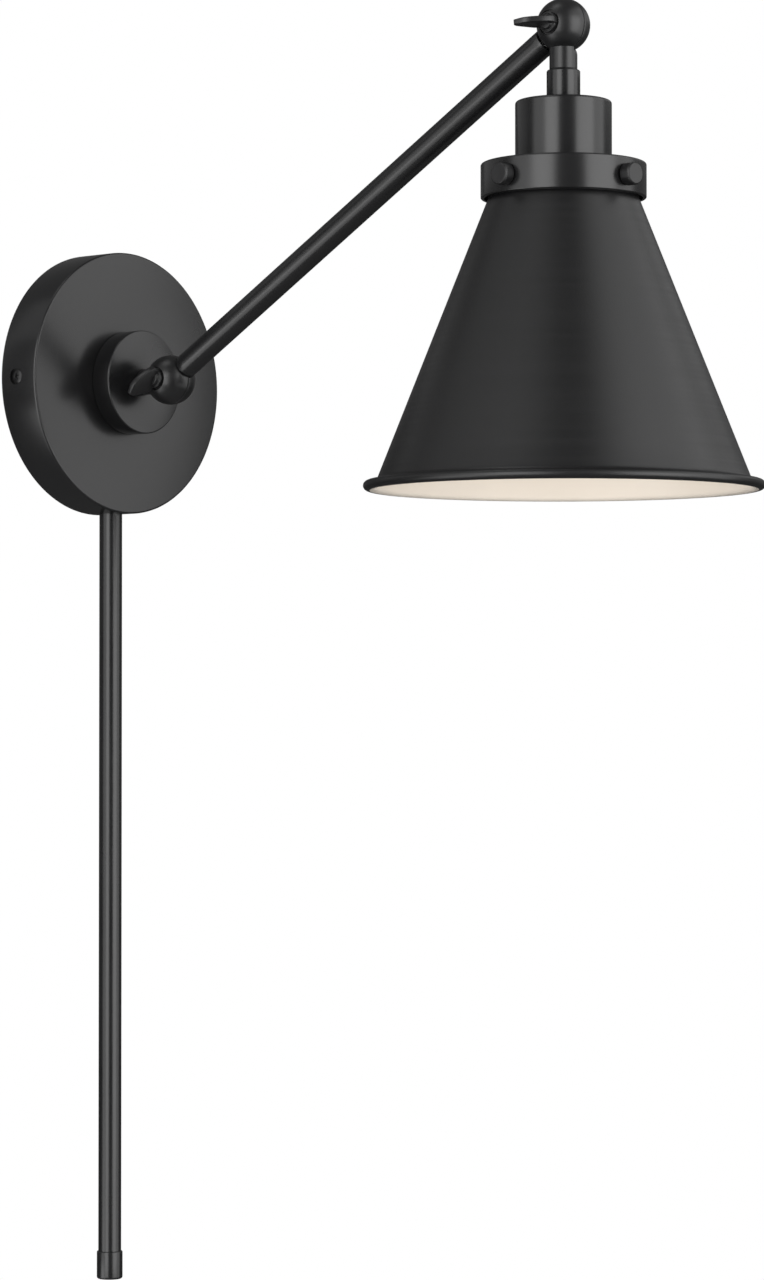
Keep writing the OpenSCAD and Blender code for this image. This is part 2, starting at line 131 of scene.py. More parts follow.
class SconceSizes(bpy.types.PropertyGroup):
    """Small sizes of the finish, on top of the frame's own"""
    plate_edge: FloatProperty(
        name="Plate edge", description="Rounding of the plate's front edge",
        default=1.1 * MM, min=0.2 * MM, max=3 * MM, unit="LENGTH")
    boss_edge: FloatProperty(
        name="Boss edge", description="Rounding of the boss's front edge",
        default=0.7 * MM, min=0.2 * MM, max=2 * MM, unit="LENGTH")
    cup_edge: FloatProperty(
        name="Cup edge", description="Rounding of the socket cup's top edge",
        default=1.3 * MM, min=0.2 * MM, max=3 * MM, unit="LENGTH")
    collar_edge: FloatProperty(
        name="Collar edge", description="Rounding of the collar's edges",
        default=0.9 * MM, min=0.2 * MM, max=2 * MM, unit="LENGTH")
    shade_wall: FloatProperty(
        name="Shade wall", description="Thickness of the spun shade",
        default=1.1 * MM, min=0.5 * MM, max=1.2 * MM, unit="LENGTH")
    bead: FloatProperty(
        name="Rim bead", description="Diameter of the shade's rolled rim",
        default=4.3 * MM, min=2 * MM, max=6 * MM, unit="LENGTH")
    knurl_depth: FloatProperty(
        name="Knurl depth", description="Height of each point of the knurling",
        default=0.28 * MM, min=0.05 * MM, max=0.5 * MM, unit="LENGTH")
    pocket_r: FloatProperty(
        name="Key pocket", description="Radius of the round pocket for a key in each ball",
        default=5.6 * MM, min=5 * MM, max=6.5 * MM, unit="LENGTH")
    round_sides: IntProperty(
        name="Sides", description="Sides of a full turn on the large round pieces",
        default=160, min=48, max=256)


class SconceFinishes(bpy.types.PropertyGroup):
    """Colours of the lamp's materials"""
    coat: FloatVectorProperty(
        name="Black coat", description="Satin black coat of the plate, arm and fittings",
        subtype="COLOR", size=3, default=(0.009, 0.009, 0.0094), min=0, max=1)
    shade_coat: FloatVectorProperty(
        name="Shade coat", description="Matte black coat outside the shade",
        subtype="COLOR", size=3, default=(0.005, 0.005, 0.0053), min=0, max=1)
    lining: FloatVectorProperty(
        name="Shade lining", description="Warm white paint inside the shade",
        subtype="COLOR", size=3, default=(0.86, 0.78, 0.68), min=0, max=1)
    zinc: FloatVectorProperty(
        name="Zinc", description="Zinc plating of the hidden fittings",
        subtype="COLOR", size=3, default=(0.60, 0.61, 0.62), min=0, max=1)
    brass: FloatVectorProperty(
        name="Brass", description="Brass of the lampholder's shell and contacts",
        subtype="COLOR", size=3, default=(0.72, 0.50, 0.20), min=0, max=1)
    phenolic: FloatVectorProperty(
        name="Phenolic", description="Moulded body of the lampholder",
        subtype="COLOR", size=3, default=(0.022, 0.019, 0.017), min=0, max=1)


class SconceStage(bpy.types.PropertyGroup):
    """Camera, lights and floor"""
    azimuth: FloatProperty(
        name="Azimuth", description="Side from which the lamp is seen",
        subtype="ANGLE", default=radians(-49.23))
    elevation: FloatProperty(
        name="Elevation", description="Height of the view above level",
        subtype="ANGLE", default=radians(-1.21))
    distance: FloatProperty(
        name="Distance", description="Distance from the camera to the aimed point",
        default=1.8, min=0.5, max=5, unit="LENGTH")
    lens: FloatProperty(
        name="Lens", description="Focal length of the camera",
        default=109.7, min=35, max=200, unit="CAMERA")
    aim: FloatVectorProperty(
        name="Aimed point", description="Point in the middle of the view",
        subtype="TRANSLATION", size=3, default=(0.0078, -0.1793, -0.1270))
    left_light: FloatProperty(
        name="Left light", description="Radiance of the left softbox", default=3.6, min=0)
    right_light: FloatProperty(
        name="Right light", description="Radiance of the right softbox", default=3.4, min=0)
    top_light: FloatProperty(
        name="Top light", description="Radiance of the overhead softbox", default=1.6, min=0)
    glow: FloatProperty(
        name="Lamp glow", description="Power of the light inside the shade",
        default=0.005, min=0, unit="POWER")
    bounce: FloatProperty(
        name="Floor bounce", description="Radiance of the light that comes up into the shade",
        default=0.29, min=0)
    room: FloatProperty(
        name="Room", description="Strength of the room's own light", default=0.13, min=0)


# ---- Modelling helpers ----

def deselect():
    if bpy.context.mode != "OBJECT":
        bpy.ops.object.mode_set(mode="OBJECT")
    bpy.ops.object.select_all(action="DESELECT")


def pick(piece):
    """Makes this the one selected and active object."""
    deselect()
    piece.select_set(True)
    bpy.context.view_layer.objects.active = piece


def edit(piece):
    pick(piece)
    bpy.ops.object.mode_set(mode="EDIT")
    bpy.ops.mesh.select_all(action="DESELECT")


def select_faces(piece, test):
    """In edit mode, selects the faces whose middle and normal pass the test."""
    bpy.ops.mesh.select_mode(type="FACE")
    bpy.ops.mesh.select_all(action="DESELECT")
    mesh = bmesh.from_edit_mesh(piece.data)
    for face in mesh.faces:
        face.select_set(bool(test(face.calc_center_median(), face.normal)))
    mesh.select_flush(True)
    bmesh.update_edit_mesh(piece.data)


def finish_modifier(piece, kind, **values):
    """Adds a modifier and applies it."""
    pick(piece)
    modifier = piece.modifiers.new(kind.title(), kind)
    for key, value in values.items():
        setattr(modifier, key, value)
    bpy.ops.object.modifier_apply(modifier=modifier.name)


def soften_edges(piece, width, segments=3, angle=32):
    finish_modifier(
        piece, "BEVEL", width=width, segments=segments, limit_method="ANGLE",
        angle_limit=radians(angle), use_clamp_overlap=True, miter_outer="MITER_ARC")


def smooth(piece, angle=35):
    pick(piece)
    bpy.ops.object.shade_smooth_by_angle(angle=radians(angle))


def settle(piece, place=(0, 0, 0), turn=(0, 0, 0)):
    """Moves a piece modelled about the origin to its place, and puts the place in its mesh."""
    pick(piece)
    piece.rotation_euler = turn
    piece.location = place
    bpy.ops.object.transform_apply(location=True, rotation=True, scale=True)


def turned(name, outline, sides=96, closed=False):
    """A piece turned on a lathe: a circle extruded and resized along (radius, height) steps."""
    deselect()
    radius, height = outline[0]
    radius = max(radius, TINY)
    bpy.ops.mesh.primitive_circle_add(
        vertices=sides, radius=radius, fill_type="NOTHING", location=(0, 0, height))
    piece = bpy.context.object
    piece.name = name
    bpy.ops.object.mode_set(mode="EDIT")
    bpy.ops.mesh.select_all(action="SELECT")
    for next_radius, next_height in outline[1:]:
        next_radius = max(next_radius, TINY)
        bpy.ops.mesh.extrude_edges_move(
            TRANSFORM_OT_translate={"value": (0, 0, next_height - height)})
        share = next_radius / radius
        bpy.ops.transform.resize(value=(share, share, 1))
        radius, height = next_radius, next_height
    if closed:
        bpy.ops.mesh.select_all(action="DESELECT")
        bpy.ops.mesh.select_mode(type="EDGE")
        bpy.ops.mesh.select_non_manifold()
        bpy.ops.mesh.bridge_edge_loops()
    bpy.ops.mesh.select_all(action="SELECT")
    bpy.ops.mesh.remove_doubles(threshold=4 * TINY)
    bpy.ops.mesh.normals_make_consistent(inside=False)
    bpy.ops.object.mode_set(mode="OBJECT")
    settle(piece, piece.location)
    return piece


def drill(piece, radius, start, end, sides=48):
    """Cuts a round hole with its axis from start to end."""
    start, end = Vector(start), Vector(end)
    run = end - start
    deselect()
    bpy.ops.mesh.primitive_cylinder_add(
        vertices=sides, radius=radius, depth=run.length, location=(start + end) / 2,
        rotation=Vector((0, 0, 1)).rotation_difference(run).to_euler())
    cutter = bpy.context.object
    cut(piece, cutter)


def cut(piece, cutter):
    finish_modifier(piece, "BOOLEAN", object=cutter, operation="DIFFERENCE", solver="EXACT")
    bpy.data.objects.remove(cutter)


def joined(name, pieces):
    deselect()
    for piece in pieces:
        piece.select_set(True)
    bpy.context.view_layer.objects.active = pieces[0]
    bpy.ops.object.join()
    pieces[0].name = name
    return pieces[0]


def copy_of(piece, name, place, turn=(0, 0, 0)):
    """A copy with its own mesh, settled in its place."""
    pick(piece)
    bpy.ops.object.duplicate(linked=False)
    twin = bpy.context.object
    twin.name = name
    settle(twin, place, turn)
    return twin


def ball(name, radius, keep=0, at=0.0):
    """A ball, or its half on one side of the plane x = at, keep = 1 or -1."""
    deselect()
    bpy.ops.mesh.primitive_uv_sphere_add(
        segments=96, ring_count=64, radius=radius, rotation=(0, pi / 2, 0))
    piece = bpy.context.object
    piece.name = name
    bpy.ops.object.transform_apply(location=True, rotation=True, scale=True)
    if keep:
        bpy.ops.object.mode_set(mode="EDIT")
        bpy.ops.mesh.select_all(action="SELECT")
        bpy.ops.mesh.bisect(
            plane_co=(at, 0, 0), plane_no=(1, 0, 0), use_fill=True,
            clear_inner=keep > 0, clear_outer=keep < 0)
        bpy.ops.mesh.select_all(action="SELECT")
        bpy.ops.mesh.normals_make_consistent(inside=False)
        bpy.ops.object.mode_set(mode="OBJECT")
    return piece


def pan_screw(name, head_r, head_h, shank_r, shank_h):
    """A pan head screw along +Z with a cross recess, its head's underside at 0."""
    dome = head_r * 3
    rise = head_h - dome
    edge_h = rise + sqrt(dome ** 2 - head_r ** 2)
    core_r = shank_r * 0.86
    steps = 10
    radii = [head_r * (1 - i / steps) for i in range(steps + 1)]
    top = [(r, rise + sqrt(dome ** 2 - r ** 2)) for r in radii]
    rows = 14
    pitch = shank_h / rows
    thread = []
    for i in range(rows):
        thread += [(core_r, -shank_h + pitch * i), (shank_r, -shank_h + pitch * (i + 0.5))]
    under = [(core_r, 0), (head_r * 0.96, 0), (head_r, edge_h * 0.3)]
    screw = turned(name, [(0, -shank_h)] + thread + under + top, 64)
    for turn, deep in ((20, 1.9), (110, 1.8)):
        deselect()
        bpy.ops.mesh.primitive_cube_add(size=1, location=(0, 0, head_h))
        slot = bpy.context.object
        slot.scale = (head_r * 1.2, head_r * 0.25, head_h * deep)
        slot.rotation_euler = (0, 0, radians(turn))
        bpy.ops.object.transform_apply(location=True, rotation=True, scale=True)
        edit(slot)
        select_faces(slot, lambda middle, normal: normal.z < -0.5)
        bpy.ops.transform.resize(value=(0.62, 0.62, 1))
        cut(screw, slot)
    soften_edges(screw, 0.07 * MM, segments=2, angle=40)
    smooth(screw, 30)
    return screw


def arc(mid_r, mid_h, radius, start, end, steps):
    """Points of an arc of an outline, from one angle to another in degrees."""
    return [
        (mid_r + radius * cos(radians(start + (end - start) * i / steps)),
         mid_h + radius * sin(radians(start + (end - start) * i / steps)))
        for i in range(steps + 1)
    ]


def place_piece(piece, body, nodes, materials):
    """Gives a finished piece its body, its finish and the CAD nodes it stands for."""
    if not piece.data.polygons:
        raise RuntimeError(f"{piece.name} came out empty")
    piece.data.materials.clear()
    for material in materials:
        piece.data.materials.append(material)
    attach(piece, body)
    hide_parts(*nodes)


# ---- Materials ----

class Nodes:
    """A short way to add and link the nodes of a material."""

    def __init__(self, name):
        self.material = bpy.data.materials.get(name) or bpy.data.materials.new(name)
        self.material.use_nodes = True
        self.tree = self.material.node_tree
        self.tree.nodes.clear()
        self.output = self.add("ShaderNodeOutputMaterial")
        self.shader = self.add("ShaderNodeBsdfPrincipled")
        self.link(self.shader.outputs["BSDF"], self.output.inputs["Surface"])
        self.place = self.add("ShaderNodeTexCoord").outputs["Object"]

    def add(self, kind, **values):
        node = self.tree.nodes.new(kind)
        for key, value in values.items():
            if hasattr(node, key):
                setattr(node, key, value)
            else:
                node.inputs[key.replace("_", " ").title()].default_value = value
        return node

    def link(self, output, socket):
        self.tree.links.new(output, socket)

    def noise(self, scale, detail=3.0, roughness=0.5, stretch=None):
        node = self.add("ShaderNodeTexNoise", scale=scale, detail=detail)
        node.inputs["Roughness"].default_value = roughness
        if stretch is None:
            self.link(self.place, node.inputs["Vector"])
        else:
            mapping = self.add("ShaderNodeMapping")
            mapping.inputs["Scale"].default_value = stretch
            self.link(self.place, mapping.inputs["Vector"])
            self.link(mapping.outputs["Vector"], node.inputs["Vector"])
        return node.outputs["Fac"]

    def between(self, value, low, high):
        """Spreads a 0 to 1 pattern over a range of numbers."""
        node = self.add("ShaderNodeMapRange")
        node.inputs["From Min"].default_value = 0.3
        node.inputs["From Max"].default_value = 0.7
        node.inputs["To Min"].default_value = low
        node.inputs["To Max"].default_value = high
        self.link(value, node.inputs["Value"])
        return node.outputs["Result"]

    def tint(self, value, low, high):
        """Mixes two colours by a pattern."""
        node = self.add("ShaderNodeValToRGB")
        node.color_ramp.elements[0].position = 0.3
        node.color_ramp.elements[1].position = 0.7
        node.color_ramp.elements[0].color = (*low, 1)
        node.color_ramp.elements[1].color = (*high, 1)
        self.link(value, node.inputs["Fac"])
        return node.outputs["Color"]

    def paint(self, pattern, colour, low, high):
        """Sets the base colour: one colour, darker and lighter by a pattern."""
        dark, light = (tuple(min(1, c * share) for c in colour) for share in (low, high))
        self.link(self.tint(pattern, dark, light), self.shader.inputs["Base Color"])

    def gloss(self, pattern, low, high):
        """Sets the roughness between two numbers by a pattern."""
        self.link(self.between(pattern, low, high), self.shader.inputs["Roughness"])

    def bump(self, value, distance, strength=1.0):
        node = self.add("ShaderNodeBump")
        node.inputs["Distance"].default_value = distance
        node.inputs["Strength"].default_value = strength
        self.link(value, node.inputs["Height"])
        self.link(node.outputs["Normal"], self.shader.inputs["Normal"])


def satin_black(name="satin_black", low=0.24, high=0.28):
    """Satin black powder coat: soft sheen, fine orange peel, faint change of gloss."""
    colour = tuple(bpy.context.scene.sconce_finishes.coat)
    n = Nodes(name)
    wide = n.noise(18, detail=4)
    fine = n.noise(1400, detail=2, roughness=0.6)
    n.paint(wide, colour, 0.88, 1.14)
    n.gloss(wide, low, high)
    n.shader.inputs["Metallic"].default_value = 0.0
    n.shader.inputs["Specular IOR Level"].default_value = 0.5
    n.bump(fine, 0.00003, 0.25)
    return n.material


def cast_black():
    """The same coat on the cast pieces, a little duller."""
    return satin_black("cast_black", 0.33, 0.37)


def matte_black():
    """Matte black coat of the shade, with the faint rings that spinning leaves."""
    colour = tuple(bpy.context.scene.sconce_finishes.shade_coat)
    n = Nodes("matte_black")
    wide = n.noise(14, detail=4)
    rings = n.noise(60, detail=3, stretch=(0.02, 0.02, 9))
    fine = n.noise(1500, detail=2, roughness=0.6)
    n.paint(wide, colour, 0.9, 1.12)
    n.gloss(rings, 0.35, 0.40)
    n.shader.inputs["Specular IOR Level"].default_value = 0.5
    n.bump(fine, 0.00005, 0.5)
    return n.material


def warm_white():
    """Warm white paint inside the shade, a little uneven and slightly glossy."""
    colour = tuple(bpy.context.scene.sconce_finishes.lining)
    n = Nodes("warm_white")
    wide = n.noise(22, detail=4)
    fine = n.noise(1100, detail=2)
    n.paint(wide, colour, 0.965, 1.02)
    n.gloss(wide, 0.38, 0.48)
    n.bump(fine, 0.00005, 0.4)
    return n.material


def zinc_plate():
    """Zinc plating: grey metal with a fine crystal mottle and dull patches."""
    colour = tuple(bpy.context.scene.sconce_finishes.zinc)
    n = Nodes("zinc_plate")
    mottle = n.noise(260, detail=5, roughness=0.65)
    wide = n.noise(30, detail=3)
    n.shader.inputs["Metallic"].default_value = 1.0
    n.paint(mottle, colour, 0.8, 1.08)
    n.gloss(wide, 0.28, 0.46)
    n.bump(mottle, 0.00003, 0.4)
    return n.material


def stamped_brass():
    """Stamped brass, warm and slightly tarnished in the recesses."""
    colour = tuple(bpy.context.scene.sconce_finishes.brass)
    n = Nodes("stamped_brass")
    tarnish = n.noise(90, detail=5, roughness=0.6)
    n.shader.inputs["Metallic"].default_value = 1.0
    n.paint(tarnish, colour, 0.72, 1.05)
    n.gloss(tarnish, 0.22, 0.4)
    n.bump(tarnish, 0.00003, 0.3)
    return n.material


def moulded(name, colour, low=0.4, high=0.55, grain=700):
    """Moulded plastic with a fine grain."""
    n = Nodes(name)
    wide = n.noise(40, detail=3)
    fine = n.noise(grain, detail=2)
    n.paint(wide, colour, 0.9, 1.08)
    n.gloss(wide, low, high)
    n.bump(fine, 0.00006, 0.4)
    return n.material


def phenolic():
    """Dark moulding of the lampholder and the bush, with a low shine."""
    return moulded("phenolic", tuple(bpy.context.scene.sconce_finishes.phenolic), 0.28, 0.4)


def green_zinc():
    """Green dyed zinc of the ground screw."""
    n = Nodes("green_zinc")
    mottle = n.noise(300, detail=4)
    n.shader.inputs["Metallic"].default_value = 0.8
    n.link(n.tint(mottle, (0.02, 0.16, 0.06), (0.04, 0.28, 0.11)), n.shader.inputs["Base Color"])
    n.gloss(mottle, 0.3, 0.42)
    return n.material


# ---- Operators ----

class SCONCE_OT_wall_plate(bpy.types.Operator):
    """Turn the round wall plate, hollow behind, with a countersink for each side screw"""
    bl_idname = "sconce.wall_plate"
    bl_label = "Wall plate"

    def execute(self, context):
        sizes = context.scene.sconce_sizes
        wall = 3 * MM
        screw_low, screw_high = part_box("side_screws")
        screw_y = (screw_low.y + screw_high.y) / 2
        bore = 5.15 * MM
        outline = [
            (PLATE_R, 0), (PLATE_R, PLATE_H), (bore, PLATE_H), (bore, PLATE_H - wall),
            (PLATE_R - wall, PLATE_H - wall), (PLATE_R - wall, 0),
        ]
        plate = turned("wall_plate", outline, sizes.round_sides, closed=True)
        settle(plate, turn=OUT_OF_WALL)
        soften_edges(plate, sizes.plate_edge, segments=5)
        countersink_r, shank_hole_r = 4 * MM, 2.2 * MM
        for side in (-1, 1):
            drill(plate, countersink_r, (side * SCREW_SEAT, screw_y, 0),
                  (side * (PLATE_R + 4 * MM), screw_y, 0))
            drill(plate, shank_hole_r, (side * (PLATE_R - 5 * MM), screw_y, 0),
                  (side * PLATE_R, screw_y, 0))
        nipple_r = 4.95 * MM
        drill(plate, nipple_r, (0, COVER_MID, -PLATE_R - 4 * MM), (0, COVER_MID, -PLATE_R + 6 * MM))
        smooth(plate)
        place_piece(plate, "wall_base", ["backplate"], [satin_black()])
        return {"FINISHED"}


class SCONCE_OT_boss(bpy.types.Operator):
    """Turn the round boss in front of the plate"""
    bl_idname = "sconce.boss"
    bl_label = "Boss"

    def execute(self, context):
        sizes = context.scene.sconce_sizes
        bore = 5.15 * MM
        outline = [(HUB_R, PLATE_H), (HUB_R, HUB_FRONT), (bore, HUB_FRONT), (bore, PLATE_H)]
        boss = turned("boss", outline, 128, closed=True)
        settle(boss, turn=OUT_OF_WALL)
        soften_edges(boss, sizes.boss_edge, segments=4)
        smooth(boss)
        place_piece(boss, "wall_base", ["hub"], [satin_black()])
        return {"FINISHED"}


class SCONCE_OT_shade(bpy.types.Operator):
    """Spin the cone shade with its rolled rim, black outside and warm white inside"""
    bl_idname = "sconce.shade"
    bl_label = "Cone shade"

    def execute(self, context):
        sizes = context.scene.sconce_sizes
        wall = sizes.shade_wall
        bead_r = sizes.bead / 2
        rim_r = half_width("shade") - bead_r
        bead_h = SHADE_BOTTOM + bead_r
        slope = 0.3963
        lean = atan(slope)
        neck_r = 33.4 * MM
        cone_top = COLLAR_BOTTOM - 0.25 * MM

        def cone_r(height):
            return neck_r + slope * (COLLAR_BOTTOM - height)

        def skin(depth, curl, end_h):
            """Outline of one side of the sheet: neck, cone, and a curl to level at end_h."""
            low_h = end_h + curl * (1 - sin(lean))
            low_r = cone_r(low_h + depth * sin(lean)) - depth * cos(lean)
            top_r, top_h = cone_r(cone_top) - depth * cos(lean), cone_top - depth * sin(lean)
            runs = 12
            cone = [
                (top_r + (low_r - top_r) * i / runs, top_h + (low_h - top_h) * i / runs)
                for i in range(runs)
            ]
            turn = arc(low_r + curl * cos(lean), end_h + curl, curl, 180 + degrees(lean), 270, 8)
            neck = [(neck_r - depth, SHADE_TOP), (neck_r - depth, cone_top + 0.25 * MM)]
            return neck + cone + turn

        outside = skin(0, 3.2 * MM, bead_h + bead_r - 0.35 * MM)
        inside = skin(wall, 3.5 * MM, SHADE_BOTTOM)
        bead = arc(rim_r, bead_h, bead_r, 122, -90, 22)
        shade = turned("cone_shade", outside + bead + inside[::-1], sizes.round_sides, closed=True)
        settle(shade, HEAD_BALL)
        smooth(shade, 15)
        place_piece(shade, "head", ["shade"], [matte_black(), warm_white()])
        axis = Vector((HEAD_BALL.x, HEAD_BALL.y, 0))
        for face in shade.data.polygons:
            out = face.center - axis
            if Vector((out.x, out.y, 0)).normalized().dot(face.normal) < -0.02:
                face.material_index = 1
        return {"FINISHED"}


class SCONCE_OT_side_screws(bpy.types.Operator):
    """Make the two cross recess screws that hold the plate to its bracket"""
    bl_idname = "sconce.side_screws"
    bl_label = "Side screws"

    def execute(self, context):
        low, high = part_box("side_screws")
        screw_y = (low.y + high.y) / 2
        screw = pan_screw("side_screw", 3.2 * MM, 1.2 * MM, 2 * MM, 8.5 * MM)
        twin = copy_of(screw, "side_screw_2", (SCREW_SEAT, screw_y, 0), (0, pi / 2, 0))
        settle(screw, (-SCREW_SEAT, screw_y, 0), (0, -pi / 2, 0))
        pair = joined("side_screws_pair", [screw, twin])
        place_piece(pair, "wall_base", ["side_screws"], [satin_black()])
        return {"FINISHED"}


class SCONCE_OT_swivels(bpy.types.Operator):
    """Make both split ball swivels: a half with a neck and a half with a spigot each"""
    bl_idname = "sconce.swivels"
    bl_label = "Ball swivels"

    def execute(self, context):
        self.stem_half(
            "base_swivel_half", BASE_BALL.y + HUB_FRONT, 5.1 * MM, -BASE_BALL.y - 8 * MM,
            BASE_BALL, OUT_OF_WALL, "base_swivel", "base_stem")
        self.stem_half(
            "head_swivel_half", COUPLER_TOP, 4.9 * MM, 39 * MM,
            HEAD_BALL, (0, 0, 0), "head", "head_stem")
        self.arm_half("arm_half_base", BASE_BALL, 1, "arm_base_half")
        self.arm_half("arm_half_head", HEAD_BALL, -1, "arm_head_half")
        return {"FINISHED"}

    @staticmethod
    def stem_half(name, neck_end, shaft_r, shaft_len, place, turn, body, node):
        """A half ball on the -X side with its neck along -Z and the round pocket for the key.

        The neck is rounded off where it meets the other half; a straight root fills it out
        on this half's own side.
        """
        sizes = bpy.context.scene.sconce_sizes
        half = ball(name, BALL_R, -1, -SPLIT)
        soften_edges(half, 0.3 * MM, segments=3)
        drill(half, sizes.pocket_r, (-BALL_R - MM, 0, 0), (-POCKET_X, 0, 0), 64)
        smooth(half, 38)
        bore = 3.6 * MM
        wide, tall = 1.3 * MM, 3.0 * MM
        top = -BALL_R + 1.2 * MM
        foot = [
            (0, neck_end), (bore, neck_end), (bore, -shaft_len), (shaft_r, -shaft_len),
            (shaft_r, neck_end), (NECK_R - 0.12 * MM, neck_end), (NECK_R, neck_end + 0.12 * MM),
        ]
        shoulder = [
            (NECK_R - wide + wide * cos(radians(10 * i)), top - tall + tall * sin(radians(10 * i)))
            for i in range(10)
        ]
        neck = turned(name + "_neck", foot + shoulder + [(0, top)], 96)
        cut(neck, ball("room", BALL_R + 0.5 * MM, 1, -1.5 * SPLIT))
        smooth(neck, 38)
        root_r, low = NECK_R + 0.01 * MM, top - 5 * MM
        root = turned(name + "_root", [
            (0, low), (NECK_R - 0.1 * MM, low), (root_r, low + 0.1 * MM),
            (root_r, -7 * MM), (0, -7 * MM)], 96)
        edit(root)
        bpy.ops.mesh.select_all(action="SELECT")
        bpy.ops.mesh.bisect(
            plane_co=(-2 * SPLIT, 0, 0), plane_no=(1, 0, 0), use_fill=True, clear_outer=True)
        bpy.ops.object.mode_set(mode="OBJECT")
        smooth(root, 38)
        half = joined(name, [half, neck, root])
        settle(half, place, turn)
        place_piece(half, body, [node], [cast_black()])

    @staticmethod
    def arm_half(name, place, way, node):
        """A half ball on the +X side with a spigot inside the arm tube."""
        half = ball(name, BALL_R, 1, SPLIT)
        soften_edges(half, 0.3 * MM, segments=3)
        spigot_r = ARM_R - 1.05 * MM
        spigot = turned(
            name + "_spigot",
            [(0, 3 * MM * way), (spigot_r - MM, 3 * MM * way), (spigot_r - MM, 24 * MM * way),
             (spigot_r, 24 * MM * way), (spigot_r, 2 * MM * way), (0, 2 * MM * way)], 64)
        cut(spigot, ball("room", BALL_R + 0.5 * MM, -1, 1.5 * SPLIT))
        smooth(spigot, 38)
        smooth(half, 38)
        half = joined(name, [half, spigot])
        settle(half, place, ARM_TURN)
        place_piece(half, "arm", [node], [cast_black()])


class SCONCE_OT_keys(bpy.types.Operator):
    """Make the two clamping keys, each a rounded paddle on a ringed collar"""
    bl_idname = "sconce.keys"
    bl_label = "Clamping keys"

    def execute(self, context):
        # distance out, lower side, upper side, thickness, in mm
        stations = (
            (-0.6, -4.6, 4.8, 2.9), (1.6, -6.8, 5.35, 2.85), (3.6, -7.5, 5.6, 2.75),
            (5.4, -8.0, 4.8, 2.7), (8, -8.8, 2.7, 2.6), (10.8, -9.5, 0.15, 2.5),
            (12.3, -9.3, -1.8, 2.45), (13.5, -8.4, -4.6, 2.4),
        )
        key = self.paddle(stations)
        foot = -POCKET_X - 0.1 * MM
        out = [(0, 0.6), (2, 0.6), (2, -0.2), (4.6, -0.2), (4.6, 1.9), (4.3, 2.25), (3.9, 2.3),
               (3.75, 2.1), (3.5, 2.1), (3.35, 2.35), (3.2, 3.2), (2.8, 3.6), (0, 3.7)]
        collar = turned("collar", [(r * MM, h * MM) for r, h in out], 64)
        soften_edges(collar, 0.12 * MM, segments=2)
        smooth(collar, 35)
        settle(collar, (foot, 0, 0), (0, -pi / 2, 0))
        stud_r, stud_h = 2 * MM, 17 * MM
        stud = turned("stud", [(0, 0), (stud_r, 0), (stud_r, stud_h), (0, stud_h)], 48)
        settle(stud, (foot, 0, 0), (0, pi / 2, 0))
        key = joined("key", [key, collar, stud])
        twin = copy_of(key, "head_key_piece", HEAD_BALL, (radians(174), 0, 0))
        key.name = "base_key_piece"
        settle(key, BASE_BALL, (radians(118), 0, 0))
        place_piece(key, "base_key", ["base_key"], [cast_black()])
        place_piece(twin, "head_key", ["head_key"], [cast_black()])
        return {"FINISHED"}

    @staticmethod
    def paddle(stations):
        """A bar extruded outwards, its end face moved and resized at each station, then rounded."""
        deselect()
        bpy.ops.mesh.primitive_cube_add(size=1)
        piece = bpy.context.object
        out, low, high, thick = stations[0]
        root = POCKET_X + 1.6 * MM
        piece.scale = (MM, (high - low) * MM, thick * MM)
        piece.location = (-root - (out - 0.5) * MM, (high + low) / 2 * MM, 0)
        bpy.ops.object.transform_apply(location=True, rotation=True, scale=True)
        edit(piece)
        select_faces(piece, lambda middle, normal: normal.x < -0.5)
        for next_out, next_low, next_high, next_thick in stations[1:]:
            shift = ((next_high + next_low) - (high + low)) / 2
            bpy.ops.mesh.extrude_region_move(
                TRANSFORM_OT_translate={"value": ((out - next_out) * MM, shift * MM, 0)})
            bpy.ops.transform.resize(
                value=(1, (next_high - next_low) / (high - low), next_thick / thick))
            out, low, high, thick = next_out, next_low, next_high, next_thick
        bpy.ops.object.mode_set(mode="OBJECT")
        soften_edges(piece, 0.45 * MM, segments=4, angle=60)
        smooth(piece, 45)
        return piece


class SCONCE_OT_arm_tube(bpy.types.Operator):
    """Turn the arm tube and shape its ends round the balls"""
    bl_idname = "sconce.arm_tube"
    bl_label = "Arm tube"

    def execute(self, context):
        length = ARM_RUN.length
        inside = ARM_R - 1 * MM
        end = 6 * MM
        clear = BALL_R + 3 * MM
        rows = 12
        heights = [clear + (length - 2 * clear) * i / rows for i in range(rows + 1)]
        outer = [(ARM_R, h) for h in [end] + heights + [length - end]]
        inner = [(inside, h) for h in (length - end, length - clear, clear, end)]
        tube = turned("arm_tube_piece", outer + inner, 96, closed=True)
        for at in (0, length):
            whole = ball("whole", BALL_R - 0.05 * MM)
            settle(whole, (0, 0, at))
            cut(tube, whole)
            room = ball("room", BALL_R + 1.0 * MM, -1, SPLIT)
            settle(room, (0, 0, at))
            cut(tube, room)
        soften_edges(tube, 0.22 * MM, segments=2, angle=40)
        smooth(tube, 35)
        settle(tube, BASE_BALL, ARM_TURN)
        place_piece(tube, "arm", ["arm_tube"], [satin_black()])
        return {"FINISHED"}


